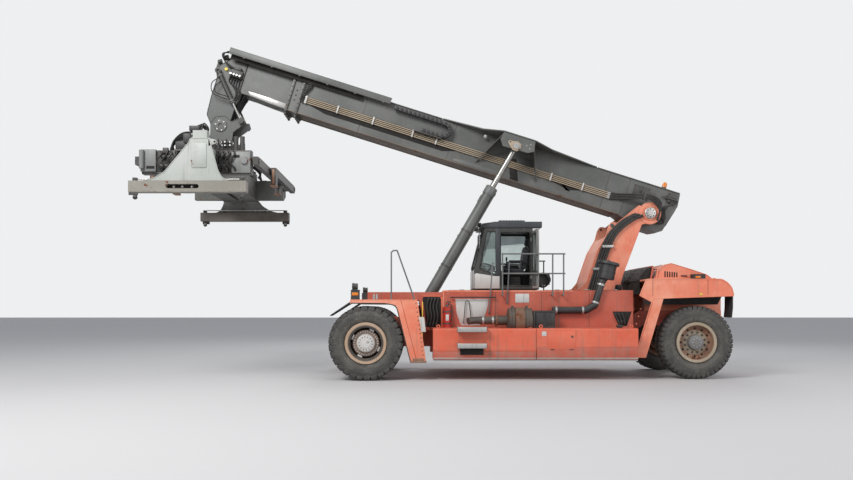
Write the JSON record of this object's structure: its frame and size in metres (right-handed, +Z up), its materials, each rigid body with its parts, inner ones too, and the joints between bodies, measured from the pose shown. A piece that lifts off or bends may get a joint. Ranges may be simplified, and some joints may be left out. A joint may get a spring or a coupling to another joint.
{
  "type": "reach stacker",
  "caption": "Four-wheel-line container handler: telescopic boom over a sliding cab, with a turning, widening spreader at its head and a counterweight at the rear.",
  "frame": {"origin": "on the ground under the middle of the machine's bounding box", "axes": "-X is forward, from the counterweight to the spreader; -Y is the machine's left side with the steps; +Z is up"},
  "size_m": [13.639, 6.093, 7.8791],
  "materials": {
    "chassis_paint": "faded, dusty coral red paint",
    "body_paint": "sun-bleached salmon red paint",
    "red_paint": "glossy red paint",
    "grey_paint": "worn grey paint",
    "cab_paint": "grey and white paint, dusty",
    "boom_paint": "flat mid grey paint with grime",
    "spreader_paint": "pale grey-green paint, rust at the edges",
    "tan_paint": "dusty tan paint",
    "rusty_paint": "red-brown paint turned to rust",
    "dark_steel": "greasy dark steel",
    "cast_block": null,
    "bright_steel": "ground and plated steel",
    "bare_metal": "dull bare sheet",
    "sooty_metal": "heat-stained steel",
    "black_rubber": "dusty black rubber",
    "tyre_rubber": "dusty tyre rubber",
    "black_plastic": "matt black",
    "seat_cloth": "dark woven cloth"
  },
  "bodies": {
    "machine": {"chassis_frame": "chassis_paint", "front_axle": "dark_steel", "front_fenders": "body_paint", "fender_flaps": "black_rubber", "side_tanks": "chassis_paint", "side_sills": "bare_metal", "upper_body": "body_paint", "boom_tower": "body_paint", "boom_pin": "bright_steel", "rear_axle": "dark_steel", "counterweight": "body_paint", "radiator": "black_plastic", "engine_block": "cast_block", "exhaust": "sooty_metal", "air_intake": "black_plastic", "deck_rails": "grey_paint", "access_steps": "bare_metal", "extinguisher": "red_paint", "deck_lamps": "black_plastic", "tower_hoses": "black_rubber"},
    "cab": {"cab_shell": "cab_paint", "cab_seat": "seat_cloth", "cab_console": "black_plastic"},
    "cab_door": {"cab_door": "grey_paint"},
    "wheel_front_left": {"front_tyres_left": "tyre_rubber", "front_rims_left": "tan_paint"},
    "wheel_front_right": {"front_tyres_right": "tyre_rubber", "front_rims_right": "tan_paint"},
    "knuckle_left": {"knuckle_left": "dark_steel"},
    "knuckle_right": {"knuckle_right": "dark_steel"},
    "wheel_rear_left": {"rear_tyre_left": "tyre_rubber", "rear_rim_left": "rusty_paint"},
    "wheel_rear_right": {"rear_tyre_right": "tyre_rubber", "rear_rim_right": "rusty_paint"},
    "steering_rod": {"steering_rod": "bright_steel"},
    "boom": {"outer_boom": "boom_paint", "boom_pipes": "tan_paint"},
    "inner_boom": {"inner_boom": "boom_paint", "hose_tray": "bare_metal", "boom_lamps": "black_plastic"},
    "lift_barrel_left": {"lift_barrel_left": "boom_paint"},
    "lift_barrel_right": {"lift_barrel_right": "boom_paint"},
    "lift_rod_left": {"lift_rod_left": "bright_steel"},
    "lift_rod_right": {"lift_rod_right": "bright_steel"},
    "yoke": {"head_yoke": "boom_paint"},
    "damper_barrels": {"damper_barrels": "dark_steel"},
    "damper_rods": {"damper_rods": "bright_steel"},
    "rotator": {"rotator": "dark_steel"},
    "spreader": {"spreader_frame": "spreader_paint"},
    "beam_left": {"beam_left": "spreader_paint"},
    "beam_right": {"beam_right": "spreader_paint"},
    "legs_left": {"legs_left": "dark_steel"},
    "legs_right": {"legs_right": "dark_steel"}
  },
  "joints": [
    {"name": "boom_lift", "type": "hinge", "parent": "machine", "child": "boom", "pos_m": [5.098, 0, 3.888], "axis": [0, 1, 0], "range_deg": [-15.8, 35]},
    {"name": "telescope", "type": "slide", "parent": "boom", "child": "inner_boom", "axis": [0.9537, 0, -0.3007], "range_m": [-6.3, 0.7]},
    {"name": "lift_barrel_swing_left", "type": "hinge", "parent": "machine", "child": "lift_barrel_left", "pos_m": [-0.417, -0.86, 1.525], "axis": [0, 1, 0], "range_deg": [-1.95, 2.86]},
    {"name": "lift_rod_slide_left", "type": "slide", "parent": "lift_barrel_left", "child": "lift_rod_left", "axis": [0.5043, 0, 0.8635], "range_m": [-1.021, 2.226]},
    {"name": "lift_barrel_swing_right", "type": "hinge", "parent": "machine", "child": "lift_barrel_right", "pos_m": [-0.417, 0.86, 1.525], "axis": [0, 1, 0], "range_deg": [-1.95, 2.86]},
    {"name": "lift_rod_slide_right", "type": "slide", "parent": "lift_barrel_right", "child": "lift_rod_right", "axis": [0.5043, 0, 0.8635], "range_m": [-1.021, 2.226]},
    {"name": "yoke_level", "type": "hinge", "parent": "inner_boom", "child": "yoke", "pos_m": [-5.2387, 0, 6.0452], "axis": [0, 1, 0], "range_deg": [-36, 17]},
    {"name": "damper_swing", "type": "hinge", "parent": "inner_boom", "child": "damper_barrels", "pos_m": [-5.2872, 0, 7.3648], "axis": [0, 1, 0], "range_deg": [-1.78, 1.43]},
    {"name": "damper_slide", "type": "slide", "parent": "damper_barrels", "child": "damper_rods", "axis": [0.4142, 0, -0.9102], "range_m": [-0.346, 0.173]},
    {"name": "spreader_turn", "type": "hinge", "parent": "yoke", "child": "rotator", "pos_m": [-5.2387, 0, 5.5552], "axis": [0, 0, 1], "range_deg": [-105, 195]},
    {"name": "side_shift", "type": "slide", "parent": "rotator", "child": "spreader", "axis": [0, 1, 0], "range_m": [-0.8, 0.8]},
    {"name": "beam_slide_left", "type": "slide", "parent": "spreader", "child": "beam_left", "axis": [0, -1, 0], "range_m": [0, 3.066]},
    {"name": "beam_slide_right", "type": "slide", "parent": "spreader", "child": "beam_right", "axis": [0, 1, 0], "range_m": [0, 3.066]},
    {"name": "legs_fold_left", "type": "hinge", "parent": "spreader", "child": "legs_left", "pos_m": [-5.3087, -2.18, 4.85], "axis": [-1, 0, 0], "range_deg": [0, 90]},
    {"name": "legs_fold_right", "type": "hinge", "parent": "spreader", "child": "legs_right", "pos_m": [-5.3087, 2.18, 4.85], "axis": [1, 0, 0], "range_deg": [0, 90]},
    {"name": "cab_slide", "type": "slide", "parent": "machine", "child": "cab", "axis": [1, 0, 0], "range_m": [0, 0.55]},
    {"name": "cab_door_hinge", "type": "hinge", "parent": "cab", "child": "cab_door", "pos_m": [2.248, -0.691, 2.8], "axis": [0, 0, 1], "range_deg": [-90, 10]},
    {"name": "steer_left", "type": "hinge", "parent": "machine", "child": "knuckle_left", "pos_m": [5.88, -1.19, 0.835], "axis": [0, 0, 1], "range_deg": [-40, 40]},
    {"name": "steer_right", "type": "hinge", "parent": "machine", "child": "knuckle_right", "pos_m": [5.88, 1.19, 0.835], "axis": [0, 0, 1], "range_deg": [-41, 41]},
    {"name": "steering_rod_slide", "type": "slide", "parent": "machine", "child": "steering_rod", "axis": [0, 1, 0], "range_m": [-0.2, 0.2]},
    {"name": "wheel_turn_front_left", "type": "hinge", "parent": "machine", "child": "wheel_front_left", "pos_m": [-1.62, -1.5, 0.835], "axis": [0, 1, 0], "continuous": true},
    {"name": "wheel_turn_front_right", "type": "hinge", "parent": "machine", "child": "wheel_front_right", "pos_m": [-1.62, 1.5, 0.835], "axis": [0, 1, 0], "continuous": true},
    {"name": "wheel_turn_rear_left", "type": "hinge", "parent": "knuckle_left", "child": "wheel_rear_left", "pos_m": [5.88, -1.393, 0.835], "axis": [0, 1, 0], "continuous": true},
    {"name": "wheel_turn_rear_right", "type": "hinge", "parent": "knuckle_right", "child": "wheel_rear_right", "pos_m": [5.88, 1.393, 0.835], "axis": [0, 1, 0], "continuous": true}
  ],
  "couplings": [
    {"joint": "lift_barrel_swing_left", "follows": "boom_lift", "ratio": 0.048},
    {"joint": "lift_rod_slide_left", "follows": "boom_lift", "m_per_rad": 3.49},
    {"joint": "lift_barrel_swing_right", "follows": "boom_lift", "ratio": 0.048},
    {"joint": "lift_rod_slide_right", "follows": "boom_lift", "m_per_rad": 3.49},
    {"joint": "yoke_level", "follows": "boom_lift", "ratio": -1},
    {"joint": "damper_swing", "follows": "boom_lift", "ratio": -0.017},
    {"joint": "damper_slide", "follows": "boom_lift", "m_per_rad": -0.502},
    {"joint": "beam_slide_right", "follows": "beam_slide_left", "ratio": 1},
    {"joint": "steer_right", "follows": "steer_left", "ratio": 1},
    {"joint": "steering_rod_slide", "follows": "steer_left", "m_per_rad": -0.25}
  ]
}
